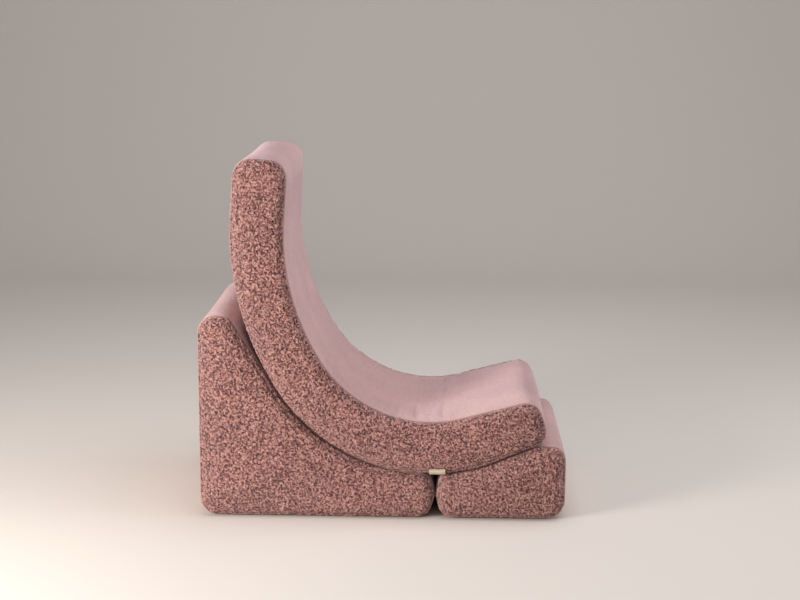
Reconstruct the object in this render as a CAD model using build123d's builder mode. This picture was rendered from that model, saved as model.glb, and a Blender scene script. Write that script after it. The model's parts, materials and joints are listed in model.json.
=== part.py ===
from build123d import *
import math
import os

os.makedirs("parts", exist_ok=True)

# A low children's chair made of three loose foam pieces: a bowed seat cushion that lies on a
# back block and a front block. Sizes are in millimetres. X is across the chair, the chair faces
# -Y and Z is up. Left and right are the sitter's, so right is towards -X.

# Overall sizes
overall_depth = 605
overall_width = 345
half_width = overall_width / 2

# Cover and foam
cover_thickness = 4
edge_radius = 14
shoulder_turn = 84
crown_run = 18
crown_drop = 1.2
edge_steps = 3
foam_bevel = 8
seam_depth = 17
seam_groove_depth = 1.6
seam_groove_width = 2.4
seam_x = half_width - seam_depth

# Bowed seat cushion, drawn on its side: u runs forward from the rear face, z runs up
bow_thickness = 88
bow_low_u = 380
bow_underside = 75.5
seat_radius = 253
seat_front_turn = 18.5
seat_back_turn = 58
back_radius = 435
back_turn = 36
top_run = 91
front_run = 110
front_taper = 4
end_crown = 3
bow_top_corner = 30
bow_front_corner = 26

# Gap between the cushion and the blocks that carry it
rest_gap = 0.3

# Back block
back_height = 338
back_nose_u = 389.8
back_rear_corner = 30
back_top_corner = 20
back_nose_low_corner = 28
back_nose_top_corner = 24

# Front block
nose_gap = 0.4
front_land_height = 125
front_face_corner = 34
front_top_corner = 26
front_nose_low_corner = 26
front_nose_top_corner = 24
front_step_radius = 30
front_slope_blend = 60

# Zips
zip_tape_thickness = 0.8
zip_tape_half = 15
zip_slot_half = 7
zip_coil_inner = 1.0
zip_coil_outer = 3.8
zip_coil_top = 2.2
zip_stop_length = 3
zip_end_margin = 2
slider_length = 12
slider_half = 5.3
slider_plate = 1.1
slider_outer_depth = 0.6
slider_flange = 1.2
slider_flange_depth = 1.9
slider_post_half = 0.7
slider_corner = 1.5
zip_clearance = 0.3
zip_reach = 20
foam_give = 2.6
tape_give = 1.0
bow_zip_u = bow_low_u
back_zip_u = 50
front_zip_u = 435
base_end_margin = 12

# Blank woven tag
tag_length = 27
tag_thickness = 0.8
tag_start_angle = 265
tag_sweep = 75

# How closely a corner or an edge is matched when it is picked out
pick_range = 1
match_range = 0.01

# Values worked out from those above
bow_mid = bow_underside + bow_thickness / 2
arc_centre = (bow_low_u, bow_mid + seat_radius)
carrying_radius = seat_radius + bow_thickness / 2 + rest_gap
front_nose_u = back_nose_u + nose_gap
side_plane = Plane(origin=(0, overall_depth / 2, 0), x_dir=(0, -1, 0), z_dir=(-1, 0, 0))


def point_on_carrier(u):
    """Angle in degrees, seen from the seat arc's centre, of the carried line at u."""
    return -90 + math.degrees(math.asin((u - bow_low_u) / carrying_radius))


def corners_at_depth(outline, u):
    """Corners of a side outline that lie at u."""
    return outline.vertices().filter_by_position(Axis.X, u - pick_range, u + pick_range)


def bow_line(drop, taper):
    """Draws the bow's line at a distance drop below its middle line and returns its two ends."""
    low = (bow_low_u, bow_mid - drop)
    seat_rear = JernArc(low, (-1, 0), seat_radius + drop, -seat_back_turn)
    back = JernArc(seat_rear @ 1, seat_rear % 1, back_radius + drop, -back_turn)
    top = Line(back @ 1, back @ 1 + (back % 1) * top_run)
    seat_front = JernArc(low, (1, 0), seat_radius + drop, seat_front_turn)
    forward = (seat_front % 1).rotate(Axis.Z, taper)
    front = Line(seat_front @ 1, seat_front @ 1 + forward * front_run)
    return top @ 1, front @ 1


def bow_outline(inset=0):
    """Side outline of the seat cushion, drawn in by inset."""
    half = bow_thickness / 2
    with BuildSketch() as outline:
        with BuildLine():
            upper_back, upper_front = bow_line(-half, -front_taper)
            lower_back, lower_front = bow_line(half, front_taper)
            SagittaArc(upper_back, lower_back, -end_crown)
            SagittaArc(lower_front, upper_front, -end_crown)
        make_face()
        fillet(outline.vertices().sort_by(Axis.Y)[-2:], bow_top_corner)
        fillet(outline.vertices().sort_by(Axis.X)[-2:], bow_front_corner)
        if inset:
            offset(amount=-inset, mode=Mode.REPLACE)
    return outline.sketch


def back_outline(inset=0):
    """Side outline of the back block: straight rear, hollow face under the cushion, blunt nose."""
    with BuildSketch() as outline:
        with BuildLine():
            nose_angle = point_on_carrier(back_nose_u)
            hollow_sweep = seat_back_turn + 90 + nose_angle
            hollow = CenterArc(arc_centre, carrying_radius, nose_angle, -hollow_sweep)
            rise = (back_height - (hollow @ 1).Y) / (hollow % 1).Y
            face = Line(hollow @ 1, hollow @ 1 + (hollow % 1) * rise)
            Polyline(face @ 1, (0, back_height), (0, 0), (back_nose_u, 0), hollow @ 0)
        make_face()
        corners = outline.vertices()
        rear_corners = corners.sort_by(Axis.X)[:2]
        fillet(rear_corners, back_rear_corner)
        top_corner = outline.vertices().filter_by_position(
            Axis.Y, back_height - pick_range, back_height + pick_range
        )
        fillet(top_corner.sort_by(Axis.X)[-1], back_top_corner)
        nose = corners_at_depth(outline, back_nose_u)
        fillet(nose.sort_by(Axis.Y)[0], back_nose_low_corner)
        nose = corners_at_depth(outline, back_nose_u)
        fillet(nose.sort_by(Axis.Y)[-1], back_nose_top_corner)
        if inset:
            offset(amount=-inset, mode=Mode.REPLACE)
    return outline.sketch


def front_outline(inset=0):
    """Side outline of the front block: blunt nose, slope under the cushion, land and tall front."""
    with BuildSketch() as outline:
        with BuildLine():
            nose_angle = point_on_carrier(front_nose_u)
            slope_sweep = seat_front_turn - 90 - nose_angle
            hollow = CenterArc(arc_centre, carrying_radius, nose_angle, slope_sweep)
            forward = (hollow % 1).rotate(Axis.Z, front_taper)
            rise = (front_land_height - (hollow @ 1).Y) / forward.Y
            slope = Line(hollow @ 1, hollow @ 1 + forward * rise)
            Polyline(
                slope @ 1,
                (overall_depth, front_land_height),
                (overall_depth, 0),
                (front_nose_u, 0),
                hollow @ 0,
            )
        make_face()
        fillet(outline.vertices().sort_by_distance(hollow @ 1)[0], front_slope_blend)
        front = outline.vertices().sort_by(Axis.X)[-2:].sort_by(Axis.Y)
        fillet(front[0], front_face_corner)
        front = corners_at_depth(outline, overall_depth)
        fillet(front.sort_by(Axis.Y)[-1], front_top_corner)
        step = outline.vertices().filter_by_position(
            Axis.Y, front_land_height - pick_range, front_land_height + pick_range
        )
        fillet(step.sort_by(Axis.X)[0], front_step_radius)
        nose = corners_at_depth(outline, front_nose_u)
        fillet(nose.sort_by(Axis.Y)[0], front_nose_low_corner)
        nose = corners_at_depth(outline, front_nose_u)
        fillet(nose.sort_by(Axis.Y)[-1], front_nose_top_corner)
        if inset:
            offset(amount=-inset, mode=Mode.REPLACE)
    return outline.sketch


def edge_rings():
    """Rings round the cover's soft edge and crown: how far across each lies and how far in it is."""
    shoulder = half_width - crown_drop - edge_radius
    rings = []
    for step in range(edge_steps + 1):
        angle = math.radians(shoulder_turn * step / edge_steps)
        rings.append((shoulder + edge_radius * math.sin(angle), edge_radius * (1 - math.cos(angle))))
    return rings + [(half_width, crown_run)]


def soft_form(outline, rings):
    """A soft form with the same rings at its left and right, and straight across between them."""
    with BuildPart() as form:
        with BuildSketch(side_plane):
            add(outline(rings[0][1]))
        extrude(amount=rings[0][0], both=True)
        for across, drawn_in in rings:
            with BuildSketch(side_plane.offset(-across)):
                add(outline(drawn_in))
        loft(ruled=True)
        mirror(about=Plane.YZ)
    return form.part


def zip_layer(outline, zip_u, base_z, near, far, inner, outer):
    """Section of a layer from near to far below the cover's outside, inner to outer each way."""
    with BuildSketch() as layer:
        add(outline(near))
        add(outline(far), mode=Mode.SUBTRACT)
        with Locations((zip_u, base_z)):
            Rectangle(2 * outer, zip_reach, mode=Mode.INTERSECT)
            if inner:
                Rectangle(2 * inner, zip_reach, mode=Mode.SUBTRACT)
    return layer.sketch


def save(piece, name):
    """Labels a finished piece and writes its file."""
    piece.label = name
    export_step(piece, f"parts/{name}.step")


def make_foam(name, outline, core, zip_u, base_z):
    """Foam core, pressed in where the zip lies against it."""
    with BuildPart() as foam:
        add(core)
        with BuildSketch(side_plane):
            tape_half = zip_tape_half + zip_clearance
            add(zip_layer(outline, zip_u, base_z, 0, cover_thickness + tape_give, 0, tape_half))
        extrude(amount=seam_x + zip_clearance, both=True, mode=Mode.SUBTRACT)
        with BuildSketch(side_plane):
            half = slider_half + zip_clearance
            add(zip_layer(outline, zip_u, base_z, 0, cover_thickness + foam_give, 0, half))
        extrude(amount=seam_x, both=True, mode=Mode.SUBTRACT)
    save(foam.part, f"{name}_foam")


def make_shell(outline, core):
    """Whole cover as one skin over the foam, drawn in along its two side seams."""
    with BuildPart() as shell:
        add(soft_form(outline, cover_rings))
        add(core, mode=Mode.SUBTRACT)
    return shell.part


def make_side_panels(name, shell):
    """Left and right panels of a cover, cut off at the seams."""
    with BuildPart() as left_panel:
        add(shell)
        split(bisect_by=Plane.YZ.offset(seam_x), keep=Keep.TOP)
    save(left_panel.part, f"{name}_left_panel")

    with BuildPart() as right_panel:
        add(shell)
        split(bisect_by=Plane.YZ.offset(-seam_x), keep=Keep.BOTTOM)
    save(right_panel.part, f"{name}_right_panel")


def make_band(name, shell, zip_u, base_z, opening_end):
    """Strip of cover between the seams, open from the zip to where the base panel ends."""
    opening_start = zip_u - zip_slot_half
    with BuildPart() as band:
        add(shell)
        split(bisect_by=Plane.YZ.offset(seam_x), keep=Keep.BOTTOM)
        split(bisect_by=Plane.YZ.offset(-seam_x), keep=Keep.TOP)
        with BuildSketch(side_plane):
            with Locations(((opening_start + opening_end) / 2, base_z)):
                Rectangle(opening_end - opening_start, zip_reach)
        extrude(amount=seam_x, both=True, mode=Mode.SUBTRACT)
    save(band.part, f"{name}_band")


def make_base_panel(name, base_start, base_end):
    """Flat panel that stands on the floor, between the zip and the band."""
    with BuildPart() as base_panel:
        with BuildSketch(side_plane):
            with Locations(((base_start + base_end) / 2, cover_thickness / 2)):
                Rectangle(base_end - base_start, cover_thickness)
        extrude(amount=seam_x, both=True)
    save(base_panel.part, f"{name}_base_panel")


def make_zip(name, outline, zip_u, base_z):
    """Zip across the chair: two tapes, two coil rows with end stops, and a slider with no pull."""
    zip_half_length = seam_x - zip_end_margin
    with BuildPart() as zip_tape:
        with BuildSketch(side_plane):
            far = cover_thickness + zip_tape_thickness
            add(zip_layer(outline, zip_u, base_z, cover_thickness, far, zip_coil_inner, zip_tape_half))
        extrude(amount=zip_half_length, both=True)
    save(zip_tape.part, f"{name}_zip_tape")

    with BuildPart() as zip_coil:
        with BuildSketch(side_plane):
            far = cover_thickness
            add(zip_layer(outline, zip_u, base_z, zip_coil_top, far, zip_coil_inner, zip_coil_outer))
        extrude(amount=zip_half_length - zip_stop_length, both=True)
        stop_middle = zip_half_length - zip_stop_length / 2
        for along in (-stop_middle, stop_middle):
            with BuildSketch(side_plane.offset(along)):
                add(zip_layer(outline, zip_u, base_z, zip_coil_top, far, 0, zip_coil_outer))
            extrude(amount=zip_stop_length / 2, both=True)
    save(zip_coil.part, f"{name}_zip_coil")

    slider_x = zip_half_length - zip_stop_length - zip_clearance - slider_length / 2
    inner_top = cover_thickness + foam_give - zip_clearance
    with BuildPart() as zip_slider:
        with BuildSketch(side_plane.offset(-slider_x)):
            with Locations((zip_u, base_z)):
                with Locations((0, slider_outer_depth + slider_plate / 2)):
                    Rectangle(2 * slider_half, slider_plate)
                with Locations((0, inner_top - slider_plate / 2)):
                    Rectangle(2 * slider_half, slider_plate)
                with Locations((0, (slider_outer_depth + inner_top) / 2)):
                    Rectangle(2 * slider_post_half, inner_top - slider_outer_depth)
                flange_middle = slider_outer_depth + slider_plate + slider_flange_depth / 2
                flange_v = slider_half - slider_flange / 2
                with Locations((-flange_v, flange_middle), (flange_v, flange_middle)):
                    Rectangle(slider_flange, slider_flange_depth)
        extrude(amount=slider_length / 2, both=True)
        zip_y = overall_depth / 2 - zip_u
        upright = zip_slider.edges().filter_by(Axis.Z)
        chamfer(
            upright.filter_by(lambda edge: abs(abs(edge.center().Y - zip_y) - slider_half) < match_range),
            slider_corner,
        )
    save(zip_slider.part, f"{name}_zip_slider")


seam_rings = [
    (seam_x - seam_groove_width / 2, 0),
    (seam_x, seam_groove_depth),
    (seam_x + seam_groove_width / 2, 0),
]
cover_rings = seam_rings + edge_rings()
foam_side = half_width - crown_drop - cover_thickness
foam_rings = [
    (foam_side - foam_bevel, cover_thickness),
    (foam_side, cover_thickness + foam_bevel),
]

bow_core = soft_form(bow_outline, foam_rings)
bow_shell = make_shell(bow_outline, bow_core)
make_foam("seat_cushion", bow_outline, bow_core, bow_zip_u, bow_underside)
make_side_panels("seat_cushion", bow_shell)
make_band("seat_cushion", bow_shell, bow_zip_u, bow_underside, bow_zip_u + zip_slot_half)
make_zip("seat_cushion", bow_outline, bow_zip_u, bow_underside)

# Blank tag, caught in the lower right seam and lying against the soft edge
edge_centre = (crown_drop + edge_radius - half_width, bow_underside + edge_radius)
seat_axis = Axis((0, overall_depth / 2 - arc_centre[0], arc_centre[1]), (-1, 0, 0))
with BuildPart() as seat_cushion_tag:
    with BuildSketch(Plane.XZ.offset(bow_low_u - overall_depth / 2)):
        with BuildLine():
            inner = CenterArc(edge_centre, edge_radius, tag_start_angle, -tag_sweep)
            outer = CenterArc(edge_centre, edge_radius + tag_thickness, tag_start_angle, -tag_sweep)
            Line(inner @ 0, outer @ 0)
            Line(inner @ 1, outer @ 1)
        make_face()
    revolve(axis=seat_axis, revolution_arc=math.degrees(tag_length / carrying_radius))
save(seat_cushion_tag.part, "seat_cushion_tag")

block_outlines = {"back_block": back_outline, "front_block": front_outline}
zip_places = {"back_block": back_zip_u, "front_block": front_zip_u}
base_ends = {
    "back_block": back_nose_u - back_nose_low_corner - base_end_margin,
    "front_block": overall_depth - front_face_corner - base_end_margin,
}
for name, outline in block_outlines.items():
    zip_u = zip_places[name]
    core = soft_form(outline, foam_rings)
    shell = make_shell(outline, core)
    make_foam(name, outline, core, zip_u, 0)
    make_side_panels(name, shell)
    make_band(name, shell, zip_u, 0, base_ends[name])
    make_base_panel(name, zip_u + zip_slot_half, base_ends[name])
    make_zip(name, outline, zip_u, 0)
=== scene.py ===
import json
import math

import bmesh
import bpy
import numpy as np
from mathutils import Matrix, Vector
from mathutils.bvhtree import BVHTree


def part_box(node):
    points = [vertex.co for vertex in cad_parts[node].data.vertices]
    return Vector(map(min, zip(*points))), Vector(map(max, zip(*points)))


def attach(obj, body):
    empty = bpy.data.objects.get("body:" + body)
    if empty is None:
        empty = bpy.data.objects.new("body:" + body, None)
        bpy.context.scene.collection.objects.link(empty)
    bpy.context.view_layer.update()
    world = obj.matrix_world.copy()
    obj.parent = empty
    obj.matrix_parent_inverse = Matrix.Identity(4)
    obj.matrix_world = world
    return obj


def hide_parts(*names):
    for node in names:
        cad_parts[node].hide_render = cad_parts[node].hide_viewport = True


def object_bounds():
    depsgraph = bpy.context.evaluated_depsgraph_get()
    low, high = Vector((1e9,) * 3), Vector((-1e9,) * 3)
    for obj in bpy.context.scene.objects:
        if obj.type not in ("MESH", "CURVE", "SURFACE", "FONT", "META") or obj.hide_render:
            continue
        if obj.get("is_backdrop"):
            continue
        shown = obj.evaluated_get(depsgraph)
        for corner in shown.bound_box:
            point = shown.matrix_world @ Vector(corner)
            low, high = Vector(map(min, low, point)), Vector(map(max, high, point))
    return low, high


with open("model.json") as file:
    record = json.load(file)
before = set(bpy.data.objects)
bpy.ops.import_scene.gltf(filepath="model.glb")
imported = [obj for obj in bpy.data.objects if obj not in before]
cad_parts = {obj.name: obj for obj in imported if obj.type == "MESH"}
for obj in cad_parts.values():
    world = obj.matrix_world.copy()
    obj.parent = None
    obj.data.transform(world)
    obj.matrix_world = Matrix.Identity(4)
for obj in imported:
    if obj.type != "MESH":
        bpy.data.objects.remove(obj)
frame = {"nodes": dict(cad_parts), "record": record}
cad_low, cad_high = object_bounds()
nodes = frame["nodes"]
scene = bpy.context.scene

# Everything is in metres, in the frame's own axes: X across, -Y forward, Z up
MM = 0.001
half_width = cad_high[0]
seam_x = half_width - 17 * MM

bodies = ("seat_cushion", "back_block", "front_block")
cover_parts = ("left_panel", "right_panel", "band", "base_panel")

# Padding
voxel = 5 * MM
pressure = 4
min_hold = 0.02
puff_frames = 20
puff_cap = {"seat_cushion": 3.0 * MM, "back_block": 3.5 * MM, "front_block": 3.0 * MM}
held_within = 16 * MM
fine_levels = 2

# Curled pile
side_pile = 2.6 * MM
band_pile = 0.6 * MM
seam_depth = 4.0 * MM
seam_spread = 2.4 * MM
gap_ease = 4.0 * MM
gap_reach = 9 * MM
corner_ease = 2.4 * MM
nose_ease = 3.5 * MM
nose_reach = 13 * MM
nose_y = -87.5 * MM
nose_z = 40 * MM
nose_contact = 12 * MM
trough_depth = 5.6 * MM
trough_half = 7 * MM
trough_reach = 12 * MM
row_offset = 3.2 * MM
row_spread = 1.8 * MM
row_pile = 0.5 * MM
mean_curl = 0.55
room_share = 0.45
room_margin = 0.1 * MM


def srgb(red, green, blue):
    """Linear colour of a screen colour from 0 to 255."""
    def linear(value):
        value /= 255
        return value / 12.92 if value <= 0.04045 else ((value + 0.055) / 1.055) ** 2.4
    return (linear(red), linear(green), linear(blue), 1)


def smooth(low, high, value):
    """0 below low, 1 above high and a soft step between, for arrays."""
    t = np.clip((value - low) / (high - low), 0, 1)
    return t * t * (3 - 2 * t)


# Camera, fitted to the photograph

focal_px = 1532
picture_width_px = 800
sensor = 36
yaw = math.radians(-1.585)
pitch = math.radians(11.074)
roll = math.radians(0.272)
camera_at = Vector((-2581.5, -95.1, 841.4)) * MM

forward = Vector(
    (math.cos(yaw) * math.cos(pitch), -math.sin(yaw) * math.cos(pitch), -math.sin(pitch))
)
right = Vector((-math.sin(yaw), -math.cos(yaw), 0))
up = right.cross(forward)
tilted_right = right * math.cos(roll) + up * math.sin(roll)
tilted_up = up * math.cos(roll) - right * math.sin(roll)
camera = bpy.data.objects.new("camera", bpy.data.cameras.new("camera"))
scene.collection.objects.link(camera)
camera.data.sensor_width = sensor
camera.data.lens = focal_px * sensor / picture_width_px
axes = Matrix((tilted_right, tilted_up, -forward)).transposed()
camera.matrix_world = Matrix.Translation(camera_at) @ axes.to_4x4()
camera.data.clip_end = 50
scene.camera = camera

# Materials


class Nodes:
    """A short way to lay out a material's nodes."""

    def __init__(self, tree):
        self.tree = tree

    def add(self, kind, inputs=None, **settings):
        node = self.tree.nodes.new(kind)
        for name, value in settings.items():
            setattr(node, name, value)
        for name, value in (inputs or {}).items():
            socket = node.inputs[name]
            if isinstance(value, bpy.types.NodeSocket):
                self.tree.links.new(value, socket)
            else:
                socket.default_value = value
        return node

    def math(self, operation, first, second=0.0, clamp=False):
        node = self.add("ShaderNodeMath", {0: first, 1: second}, operation=operation, use_clamp=clamp)
        return node.outputs[0]

    def mix(self, factor, first, second, blend="MIX"):
        node = self.add("ShaderNodeMix", data_type="RGBA", blend_type=blend)
        for index, value in ((0, factor), (6, first), (7, second)):
            if isinstance(value, bpy.types.NodeSocket):
                self.tree.links.new(value, node.inputs[index])
            else:
                node.inputs[index].default_value = value
        return node.outputs[2]

    def ramp(self, factor, *stops):
        node = self.add("ShaderNodeValToRGB", {"Fac": factor})
        elements = node.color_ramp.elements
        while len(elements) < len(stops):
            elements.new(0.5)
        for element, (place, colour) in zip(elements, stops):
            element.position = place
            element.color = colour
        return node.outputs["Color"]

    def attribute(self, name):
        return self.add("ShaderNodeAttribute", attribute_name=name).outputs["Fac"]


def new_material(name):
    material = bpy.data.materials.new(name)
    material.use_nodes = True
    build = Nodes(material.node_tree)
    shader = material.node_tree.nodes["Principled BSDF"]
    return material, build, shader


def curly_fabric():
    material, build, shader = new_material("curly_fabric")
    curl = build.attribute("curl")
    side = build.attribute("side")
    seam_groove_shade = build.attribute("seam_groove_shade")
    place = build.add("ShaderNodeTexCoord").outputs["Object"]
    # Painted shade and highlight: the side pile's colour follows its height, painted dark brown in the pits
    # as shade and pale on the curl tips as highlight.
    side_colour_painted_shade_and_highlight = build.ramp(
        curl,
        (0.16, srgb(84, 38, 34)),
        (0.38, srgb(168, 106, 93)),
        (0.56, srgb(214, 154, 139)),
        (0.92, srgb(245, 198, 183)),
    )
    # Painted light and shade: the band's ramp is a paler, more lilac copy of the same pink, standing in for
    # the lit sheen of its upward faces, and it is darker in the pits as painted shade.
    band_colour_painted_sheen_and_shade = build.ramp(
        curl,
        (0.05, srgb(170, 128, 124)),
        (0.40, srgb(198, 160, 155)),
        (0.75, srgb(210, 174, 169)),
        (1.00, srgb(222, 190, 185)),
    )
    colour = build.mix(side, band_colour_painted_sheen_and_shade, side_colour_painted_shade_and_highlight)
    cloud = build.add("ShaderNodeTexNoise", {"Vector": place, "Scale": 11.0, "Detail": 3.0}).outputs["Fac"]
    shade = build.ramp(cloud, (0.30, (0.88, 0.86, 0.86, 1)), (0.70, (1.06, 1.05, 1.05, 1)))
    colour = build.mix(1.0, colour, shade, "MULTIPLY")
    # Painted shade: along the seam groove the colour is painted dark brown.
    colour = build.mix(build.math("MULTIPLY", seam_groove_shade, 0.85), colour, srgb(70, 34, 32))
    build.tree.links.new(colour, shader.inputs["Base Color"])
    loops = build.add(
        "ShaderNodeTexNoise",
        {"Vector": place, "Scale": 420.0, "Detail": 2.0, "Roughness": 0.6, "Distortion": 0.8},
    ).outputs["Fac"]
    away = build.math("ABSOLUTE", build.math("SUBTRACT", loops, 0.5))
    ridge = build.math("SUBTRACT", 1.0, build.math("MULTIPLY", away, 5.0), clamp=True)
    amount = build.math("ADD", build.math("MULTIPLY", side, 0.85), 0.15)
    relief = build.math("MULTIPLY", ridge, amount)
    bump = build.add("ShaderNodeBump", {"Height": relief, "Strength": 1.0, "Distance": 1.6 * MM})
    build.tree.links.new(bump.outputs["Normal"], shader.inputs["Normal"])
    shader.inputs["Roughness"].default_value = 0.95
    shader.inputs["Specular IOR Level"].default_value = 0.2
    shader.inputs["Sheen Weight"].default_value = 0.55
    shader.inputs["Sheen Roughness"].default_value = 0.5
    shader.inputs["Sheen Tint"].default_value = srgb(246, 230, 238)
    return material


def woven(name, dark, light, threads_per_metre):
    """A plain weave with fine threads both ways."""
    material, build, shader = new_material(name)
    place = build.add("ShaderNodeTexCoord").outputs["Object"]
    waves = []
    for direction in ("X", "Y"):
        wave = build.add(
            "ShaderNodeTexWave",
            {"Vector": place, "Scale": threads_per_metre / 20, "Distortion": 0.4, "Detail": 1.0},
            bands_direction=direction,
        )
        waves.append(wave.outputs["Fac"])
    weave = build.math("MULTIPLY", waves[0], waves[1])
    # Painted shade: the low gaps between threads, low in the bump, take the dark colour.
    colour = build.ramp(weave, (0.0, dark), (0.6, light))
    build.tree.links.new(colour, shader.inputs["Base Color"])
    bump = build.add("ShaderNodeBump", {"Height": weave, "Strength": 0.4, "Distance": 0.2 * MM})
    build.tree.links.new(bump.outputs["Normal"], shader.inputs["Normal"])
    shader.inputs["Roughness"].default_value = 0.8
    shader.inputs["Sheen Weight"].default_value = 0.15
    return material


def foam_material():
    material, build, shader = new_material("foam")
    place = build.add("ShaderNodeTexCoord").outputs["Object"]
    cells = build.add("ShaderNodeTexVoronoi", {"Vector": place, "Scale": 700.0}).outputs["Distance"]
    # Painted shade: the cell hollows, low in the bump, are painted darker than the cell walls.
    colour = build.ramp(cells, (0.0, srgb(214, 205, 180)), (0.5, srgb(240, 234, 214)))
    build.tree.links.new(colour, shader.inputs["Base Color"])
    bump = build.add("ShaderNodeBump", {"Height": cells, "Strength": 0.5, "Distance": 0.5 * MM})
    build.tree.links.new(bump.outputs["Normal"], shader.inputs["Normal"])
    shader.inputs["Roughness"].default_value = 0.9
    return material


def metal_material():
    material, build, shader = new_material("zip_slider")
    place = build.add("ShaderNodeTexCoord").outputs["Object"]
    grain = build.add("ShaderNodeTexNoise", {"Vector": place, "Scale": 600.0, "Detail": 4.0}).outputs["Fac"]
    colour = build.ramp(grain, (0.3, srgb(168, 168, 170)), (0.7, srgb(205, 205, 207)))
    rough = build.add("ShaderNodeMapRange", {"Value": grain, "To Min": 0.28, "To Max": 0.48})
    build.tree.links.new(colour, shader.inputs["Base Color"])
    build.tree.links.new(rough.outputs["Result"], shader.inputs["Roughness"])
    bump = build.add("ShaderNodeBump", {"Height": grain, "Strength": 0.2, "Distance": 0.1 * MM})
    build.tree.links.new(bump.outputs["Normal"], shader.inputs["Normal"])
    shader.inputs["Metallic"].default_value = 1
    return material


def coil_material():
    material, build, shader = new_material("zip_coil")
    place = build.add("ShaderNodeTexCoord").outputs["Object"]
    grain = build.add("ShaderNodeTexNoise", {"Vector": place, "Scale": 400.0, "Detail": 2.0}).outputs["Fac"]
    colour = build.ramp(grain, (0.3, srgb(158, 106, 97)), (0.7, srgb(182, 128, 118)))
    build.tree.links.new(colour, shader.inputs["Base Color"])
    shader.inputs["Roughness"].default_value = 0.38
    return material


materials = {
    "curly_fabric": curly_fabric(),
    "foam": foam_material(),
    "zip_tape": woven("zip_tape", srgb(140, 92, 84), srgb(184, 134, 124), 2200),
    "zip_coil": coil_material(),
    "zip_slider": metal_material(),
    "tag": woven("tag", srgb(203, 186, 160), srgb(232, 220, 198), 2600),
}
slot_of = {entry["node"]: entry["material_slot"] for entry in frame["record"]["subparts"]}
for name, node in nodes.items():
    node.data.materials.clear()
    node.data.materials.append(materials[slot_of[name]])

# Covers


def new_object(name, mesh):
    obj = bpy.data.objects.new(name, mesh)
    scene.collection.objects.link(obj)
    return obj


def joined_mesh(parts):
    """One mesh of several CAD nodes."""
    build = bmesh.new()
    for part in parts:
        build.from_mesh(part.data)
    mesh = bpy.data.meshes.new("joined")
    build.to_mesh(mesh)
    build.free()
    return mesh


def evaluated_mesh(obj):
    """The object's mesh with its modifiers worked in."""
    depsgraph = bpy.context.evaluated_depsgraph_get()
    return bpy.data.meshes.new_from_object(obj.evaluated_get(depsgraph))


def keep_largest(mesh):
    """Deletes every loose part of a mesh but the largest."""
    build = bmesh.new()
    build.from_mesh(mesh)
    left = set(build.verts)
    largest = []
    while left:
        found = [left.pop()]
        for vert in found:
            for edge in vert.link_edges:
                other = edge.other_vert(vert)
                if other in left:
                    left.discard(other)
                    found.append(other)
        if len(found) > len(largest):
            largest = found
    kept = set(largest)
    bmesh.ops.delete(build, geom=[v for v in build.verts if v not in kept], context="VERTS")
    build.to_mesh(mesh)
    build.free()


def positions(mesh):
    flat = np.empty(len(mesh.vertices) * 3, np.float32)
    mesh.vertices.foreach_get("co", flat)
    return flat.reshape(-1, 3).astype(float)


def set_positions(mesh, points):
    mesh.vertices.foreach_set("co", points.astype(np.float32).ravel())
    mesh.update()


def normals(mesh):
    flat = np.empty(len(mesh.vertices) * 3, np.float32)
    mesh.vertex_normals.foreach_get("vector", flat)
    return flat.reshape(-1, 3).astype(float)


def set_values(mesh, name, values):
    attribute = mesh.attributes.get(name) or mesh.attributes.new(name, "FLOAT", "POINT")
    attribute.data.foreach_set("value", values.astype(np.float32))


def get_values(mesh, name):
    values = np.empty(len(mesh.vertices), np.float32)
    mesh.attributes[name].data.foreach_get("value", values)
    return values.astype(float)


def cover_nodes(body):
    return [nodes[f"{body}_{part}"] for part in cover_parts if f"{body}_{part}" in nodes]


trees = {}
for body in bodies:
    mesh = joined_mesh(cover_nodes(body))
    build = bmesh.new()
    build.from_mesh(mesh)
    trees[body] = BVHTree.FromBMesh(build)
    build.free()

far_away = 0.05


def room_round(body, points):
    """Each point's distance from the nearest other soft piece or the floor."""
    others = [tree for name, tree in trees.items() if name != body]
    room = np.minimum(points[:, 2] if body != "seat_cushion" else far_away, far_away)
    room = np.broadcast_to(room, len(points)).copy()
    for index, point in enumerate(points):
        for tree in others:
            distance = tree.find_nearest(Vector(point), far_away)[3]
            if distance is not None and distance < room[index]:
                room[index] = distance
    return room


covers = {}
for body in bodies:
    rough = new_object(f"{body}_rough", joined_mesh([*cover_nodes(body), nodes[f"{body}_foam"]]))
    remesh = rough.modifiers.new("remesh", "REMESH")
    remesh.mode = "VOXEL"
    remesh.voxel_size = voxel
    mesh = evaluated_mesh(rough)
    bpy.data.objects.remove(rough)
    keep_largest(mesh)
    mesh.name = f"{body}_cover"
    cover = new_object(f"{body}_cover", mesh)
    points = positions(mesh)
    room = room_round(body, points)
    set_values(mesh, "room", room)
    held = cover.vertex_groups.new(name="held")
    near_seam = np.exp(-((np.abs(points[:, 0]) - seam_x) / (2 * voxel)) ** 2)
    weight = np.maximum(near_seam, 1 - smooth(0, held_within, room))
    for index, value in enumerate(weight):
        if value > min_hold:
            held.add([index], float(value), "REPLACE")
    covers[body] = cover

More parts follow.
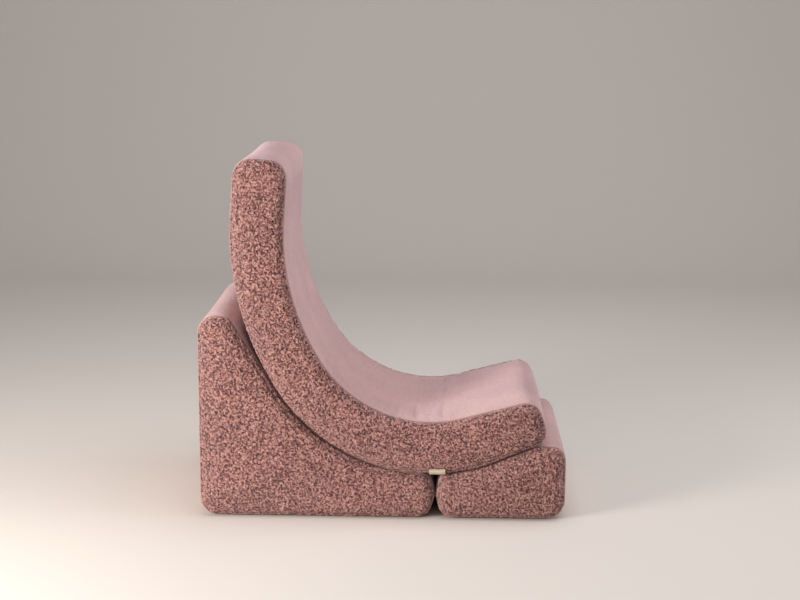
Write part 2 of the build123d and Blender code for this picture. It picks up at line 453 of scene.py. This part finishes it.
starts = {}
for body, cover in covers.items():
    starts[body] = positions(cover.data)
    cloth = cover.modifiers.new("puff", "CLOTH")
    settings = cloth.settings
    settings.quality = 4
    settings.mass = 0.15
    settings.tension_stiffness = 12
    settings.compression_stiffness = 12
    settings.shear_stiffness = 4
    settings.bending_stiffness = 1.5
    settings.use_pressure = True
    settings.uniform_pressure_force = pressure
    settings.vertex_group_mass = "held"
    settings.effector_weights.gravity = 0
    cloth.collision_settings.use_collision = False
    cloth.point_cache.frame_end = puff_frames
for number in range(1, puff_frames + 1):
    scene.frame_set(number)
for body, cover in covers.items():
    swollen = evaluated_mesh(cover)
    moved = positions(swollen) - starts[body]
    length = np.linalg.norm(moved, axis=1, keepdims=True)
    cap = puff_cap[body]
    moved *= np.minimum(1, cap / np.maximum(length, 1e-9))
    cover.modifiers.clear()
    set_positions(cover.data, starts[body] + moved)
    bpy.data.meshes.remove(swollen)
scene.frame_set(1)


def curl_group():
    """Geometry nodes that store the pile's height, from 0 to 1, on every point."""
    group = bpy.data.node_groups.new("curls", "GeometryNodeTree")
    group.interface.new_socket("Geometry", in_out="INPUT", socket_type="NodeSocketGeometry")
    group.interface.new_socket("Geometry", in_out="OUTPUT", socket_type="NodeSocketGeometry")
    build = Nodes(group)
    start = build.add("NodeGroupInput")
    place = build.add("GeometryNodeInputPosition").outputs[0]
    wander = build.add("ShaderNodeTexNoise", {"Vector": place, "Scale": 150.0, "Detail": 1.0})
    centred = build.add(
        "ShaderNodeVectorMath", {0: wander.outputs["Color"], 1: (0.5, 0.5, 0.5)}, operation="SUBTRACT"
    )
    scaled = build.add("ShaderNodeVectorMath", {0: centred.outputs[0], "Scale": 0.006}, operation="SCALE")
    bent = build.add("ShaderNodeVectorMath", {0: place, 1: scaled.outputs[0]}, operation="ADD").outputs[0]
    heights = []
    for scale, sharpness in ((265.0, 6.5), (420.0, 5.0)):
        lines = build.add("ShaderNodeTexNoise", {"Vector": bent, "Scale": scale, "Detail": 0.5})
        away = build.math("ABSOLUTE", build.math("SUBTRACT", lines.outputs["Fac"], 0.5))
        worm = build.math("SUBTRACT", 1.0, build.math("MULTIPLY", away, sharpness), clamp=True)
        tufts = build.add(
            "ShaderNodeTexVoronoi",
            {"Vector": bent, "Scale": scale * 1.15, "Smoothness": 0.6},
            feature="SMOOTH_F1",
        )
        spread = build.math("MULTIPLY", tufts.outputs["Distance"], 1.5)
        tuft = build.math("SUBTRACT", 1.0, spread, clamp=True)
        both = build.math("ADD", build.math("MULTIPLY", worm, 0.55), build.math("MULTIPLY", tuft, 0.6))
        heights.append(build.math("MINIMUM", both, 1.0))
    geometry = start.outputs[0]
    for name, height in zip(("curl", "fine_curl"), heights):
        store = build.add(
            "GeometryNodeStoreNamedAttribute",
            {"Geometry": geometry, "Name": name, "Value": height},
            data_type="FLOAT",
            domain="POINT",
        )
        geometry = store.outputs[0]
    build.add("NodeGroupOutput", {0: geometry})
    return group


zip_u = {}
for body in bodies:
    low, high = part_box(f"{body}_zip_coil")
    zip_u[body] = ((low[1] + high[1]) / 2, (low[2] + high[2]) / 2)

curls = curl_group()
for body, cover in covers.items():
    subdivide = cover.modifiers.new("finer", "SUBSURF")
    subdivide.levels = fine_levels
    subdivide.render_levels = fine_levels
    cover.modifiers.new("curls", "NODES").node_group = curls
    mesh = evaluated_mesh(cover)
    cover.modifiers.clear()
    old = cover.data
    cover.data = mesh
    bpy.data.meshes.remove(old)
    mesh.name = f"{body}_cover"

    points = positions(mesh)
    outward = normals(mesh)
    room = get_values(mesh, "room")
    across = np.abs(points[:, 0])
    side = smooth(seam_x - 0.5 * MM, seam_x + 1.5 * MM, across)
    curl = get_values(mesh, "curl")
    fine = get_values(mesh, "fine_curl")
    height = side * curl + (1 - side) * (0.35 * curl + 0.65 * fine)
    seam_row = np.exp(-((across - seam_x - row_offset) / row_spread) ** 2)
    pile = side * side_pile + (1 - side) * band_pile + seam_row * row_pile
    rise = pile * (height - mean_curl)
    seam_line = np.exp(-((across - seam_x) / seam_spread) ** 2)
    rise -= seam_depth * seam_line
    turned = np.abs(outward[:, 0])
    rise -= corner_ease * (4 * turned**2 * (1 - turned**2)) ** 2 * side
    shoulder = smooth(seam_x, half_width - 2 * MM, across)
    rise -= gap_ease * shoulder * np.exp(-room / gap_reach)
    if body != "seat_cushion":
        from_nose = (points[:, 1] - nose_y) / nose_reach
        from_contact = (points[:, 2] - nose_z) / nose_contact
        rise -= nose_ease * np.exp(-from_nose**2) * (1 - np.exp(-from_contact**2))
    rise = np.minimum(rise, room * room_share - room_margin)
    zip_y, zip_z = zip_u[body]
    below = (outward[:, 2] < -0.6) & (points[:, 2] < zip_z + trough_reach)
    in_trough = 1 - smooth(trough_half - 1 * MM, trough_half + 1 * MM, np.abs(points[:, 1] - zip_y))
    in_trough *= 1 - smooth(seam_x - 3 * MM, seam_x - 1 * MM, across)
    in_trough *= below
    rise = rise * (1 - in_trough) - trough_depth * in_trough
    points += outward * rise[:, None]
    points[:, 2] = np.maximum(points[:, 2], 0)
    set_positions(mesh, points)
    # The pile height also sets the painted pit shade and tip highlight in the fabric's colour.
    set_values(mesh, "curl", np.clip(height, 0, 1))
    set_values(mesh, "side", side)
    # Seam line mask for the painted shade along the seam groove.
    set_values(mesh, "seam_groove_shade", np.clip(seam_line, 0, 1))
    for name in ("fine_curl", "room"):
        mesh.attributes.remove(mesh.attributes[name])
    mesh.shade_smooth()
    mesh.materials.clear()
    mesh.materials.append(materials["curly_fabric"])
    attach(cover, body)
    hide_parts(*[node.name for node in cover_nodes(body)])

# Tag and zips

tape_thick = 0.8 * MM
tape_rib = 0.07 * MM
tape_pitch = 2.4 * MM
tape_columns = 9
tape_inner = 1.05 * MM
tape_margin = 1.1 * MM
tag_ripple = 0.25 * MM
tag_wave = 4 * MM
ray_x = 0.05
ray_below = 0.02
coil_pitch = 1.5 * MM
coil_wire = 0.3 * MM
coil_turn_points = 10
coil_sides = 5
stop_length = 3 * MM
foam_draw = 7 * MM


def from_lists(name, verts, faces, material):
    """A new object from points and faces, with its faces turned outward."""
    mesh = bpy.data.meshes.new(name)
    mesh.from_pydata([tuple(v) for v in verts], [], faces)
    mesh.validate()
    build = bmesh.new()
    build.from_mesh(mesh)
    bmesh.ops.recalc_face_normals(build, faces=build.faces)
    build.to_mesh(mesh)
    build.free()
    mesh.materials.append(materials[material])
    return new_object(name, mesh)


def tag_ribbon():
    """The blank woven ribbon, from its CAD shape with a slight ripple along it."""
    build = bmesh.new()
    build.from_mesh(nodes["seat_cushion_tag"].data)
    bmesh.ops.remove_doubles(build, verts=build.verts, dist=0.02 * MM)
    bmesh.ops.subdivide_edges(build, edges=build.edges, cuts=3, use_grid_fill=True)
    low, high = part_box("seat_cushion_tag")
    middle_y = (low[1] + high[1]) / 2
    for vert in build.verts:
        along = vert.co.y - middle_y
        vert.co.z += tag_ripple * math.sin(along / tag_wave)
    mesh = bpy.data.meshes.new("tag_ribbon")
    build.to_mesh(mesh)
    build.free()
    mesh.materials.append(materials["tag"])
    return new_object("tag_ribbon", mesh)


def foam_core(body):
    """The foam block, drawn in so that it stays under the cover's deepest curls and seams."""
    core = new_object(f"{body}_foam_core", joined_mesh([nodes[f"{body}_foam"]]))
    remesh = core.modifiers.new("remesh", "REMESH")
    remesh.mode = "VOXEL"
    remesh.voxel_size = 2 * voxel
    mesh = evaluated_mesh(core)
    core.modifiers.clear()
    keep_largest(mesh)
    set_positions(mesh, positions(mesh) - foam_draw * normals(mesh))
    mesh.materials.clear()
    mesh.materials.append(materials["foam"])
    mesh.shade_smooth()
    core.data = mesh
    return core


def zip_tape(body):
    """Two woven strips with fine ribs across the zip."""
    node = nodes[f"{body}_zip_tape"]
    low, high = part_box(node.name)
    tree_build = bmesh.new()
    tree_build.from_mesh(node.data)
    tree = BVHTree.FromBMesh(tree_build)
    tree_build.free()
    zip_y = zip_u[body][0]
    half_length = high[0]
    rows = int(2 * half_length / tape_pitch) * 2 + 1
    columns = tape_columns
    verts, faces = [], []
    for sign in (-1, 1):
        first = len(verts)
        edge = (high[1] - low[1]) / 2
        bottoms = []
        for column in range(columns):
            y = zip_y + sign * (tape_inner + (edge - tape_margin) * column / (columns - 1))
            hit = tree.ray_cast(Vector((ray_x, y, low[2] - ray_below)), Vector((0, 0, 1)))[0]
            bottoms.append((y, hit.z if hit else low[2]))
        for layer in (0, 1):
            for row in range(rows):
                x = -half_length + 2 * half_length * row / (rows - 1)
                rib = tape_rib * (1 if row % 2 else -1) * (1 if layer else -1)
                for y, z in bottoms:
                    verts.append((x, y, z + layer * tape_thick + rib))
        count = rows * columns

        def at(layer, row, column):
            return first + layer * count + row * columns + column

        for row in range(rows - 1):
            for column in range(columns - 1):
                for layer in (0, 1):
                    faces.append(
                        (at(layer, row, column), at(layer, row, column + 1),
                         at(layer, row + 1, column + 1), at(layer, row + 1, column))
                    )
            for column in (0, columns - 1):
                faces.append(
                    (at(0, row, column), at(0, row + 1, column), at(1, row + 1, column), at(1, row, column))
                )
        for row in (0, rows - 1):
            for column in range(columns - 1):
                faces.append(
                    (at(0, row, column), at(0, row, column + 1), at(1, row, column + 1), at(1, row, column))
                )
    return from_lists(f"{body}_tape_weave", verts, faces, "zip_tape")


def zip_teeth(body):
    """Two rows of helical coil teeth and the two end stops."""
    low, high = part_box(f"{body}_zip_coil")
    zip_y, zip_z = zip_u[body]
    row_inner = 1.0 * MM
    row_half = ((high[1] - low[1]) / 2 - row_inner) / 2
    tall = (high[2] - low[2]) / 2
    half_length = high[0] - stop_length
    turns = int(2 * half_length / coil_pitch)
    verts, faces = [], []
    for sign in (-1, 1):
        centre_y = zip_y + sign * (row_inner + row_half)
        first = len(verts)
        steps = turns * coil_turn_points
        for step in range(steps + 1):
            angle = 2 * math.pi * step / coil_turn_points
            x = -half_length + 2 * half_length * step / steps
            around = Vector((0, math.cos(angle), math.sin(angle)))
            y = centre_y + around.y * (row_half - coil_wire)
            z = zip_z + around.z * (tall - coil_wire)
            at = Vector((x, y, z))
            for side in range(coil_sides):
                turn = 2 * math.pi * side / coil_sides
                outward = math.cos(turn) * around + Vector((math.sin(turn), 0, 0))
                verts.append(at + coil_wire * outward)
        for step in range(steps):
            for side in range(coil_sides):
                a = first + step * coil_sides + side
                b = first + step * coil_sides + (side + 1) % coil_sides
                faces.append((a, b, b + coil_sides, a + coil_sides))
        faces.append(tuple(first + side for side in range(coil_sides)))
        last = first + steps * coil_sides
        faces.append(tuple(last + side for side in range(coil_sides)))
    for sign in (-1, 1):
        first = len(verts)
        near, far = sign * half_length, sign * high[0]
        for x in (near, far):
            for y in (low[1], high[1]):
                for z in (low[2], high[2]):
                    verts.append((x, y, z))
        for quad in ((0, 1, 3, 2), (4, 5, 7, 6), (0, 1, 5, 4), (2, 3, 7, 6), (0, 2, 6, 4), (1, 3, 7, 5)):
            faces.append(tuple(first + index for index in quad))
    return from_lists(f"{body}_coil_teeth", verts, faces, "zip_coil")


ribbon = tag_ribbon()
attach(ribbon, "seat_cushion")
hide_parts("seat_cushion_tag")
for body in bodies:
    core = foam_core(body)
    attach(core, body)
    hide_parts(f"{body}_foam")
    tape = zip_tape(body)
    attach(tape, body)
    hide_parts(f"{body}_zip_tape")
    teeth = zip_teeth(body)
    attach(teeth, body)
    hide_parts(f"{body}_zip_coil")

# Stage and light

floor_size = 12
bend_radius = 1.2
backdrop_x = 3.2


def stage_sheet():
    """A floor that bends up into a backdrop behind the chair, as seen by the camera."""
    steps = 16
    profile = [(-8, 0), (backdrop_x - bend_radius, 0)]
    for step in range(1, steps + 1):
        angle = math.pi / 2 * step / steps
        profile.append(
            (backdrop_x - bend_radius + bend_radius * math.sin(angle), bend_radius * (1 - math.cos(angle)))
        )
    profile.append((backdrop_x, 6))
    verts = [(x, y, z) for x, z in profile for y in (-floor_size, floor_size)]
    faces = [(2 * i, 2 * i + 1, 2 * i + 3, 2 * i + 2) for i in range(len(profile) - 1)]
    mesh = bpy.data.meshes.new("floor")
    mesh.from_pydata(verts, [], faces)
    mesh.shade_smooth()
    return mesh


floor = bpy.data.objects.new("floor", stage_sheet())
scene.collection.objects.link(floor)
floor_material, build, shader = new_material("floor")
shader.inputs["Base Color"].default_value = srgb(222, 214, 205)
shader.inputs["Roughness"].default_value = 0.85
floor.data.materials.append(floor_material)
floor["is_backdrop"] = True


def area_light(name, place, target, size, power, colour=(1, 1, 1)):
    lamp = bpy.data.lights.new(name, "AREA")
    lamp.shape = "DISK"
    lamp.size = size
    lamp.energy = power
    lamp.color = colour
    obj = bpy.data.objects.new(name, lamp)
    scene.collection.objects.link(obj)
    obj.location = place
    obj.rotation_euler = (Vector(target) - Vector(place)).to_track_quat("-Z", "Y").to_euler()
    return obj


middle = (0, 0, 0.25)
key_tint = (1, 0.95, 0.91)
fill_tint = (0.97, 0.97, 1)
area_light("rear_key", (-1.15, 1.35, 0.6), (-0.1, 0.05, 0.2), 0.7, 30, key_tint)
area_light("top_soft", (-0.2, -0.4, 2.2), middle, 2.2, 26, fill_tint)
area_light("front_soft", (-0.2, -2.4, 1.3), middle, 1.6, 15, fill_tint)
world = bpy.data.worlds.new("world")
scene.world = world
world.use_nodes = True
world.node_tree.nodes["Background"].inputs["Color"].default_value = (0.93, 0.94, 1.0, 1)
world.node_tree.nodes["Background"].inputs["Strength"].default_value = 0.30

scene.view_settings.view_transform = "Standard"

low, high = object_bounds()
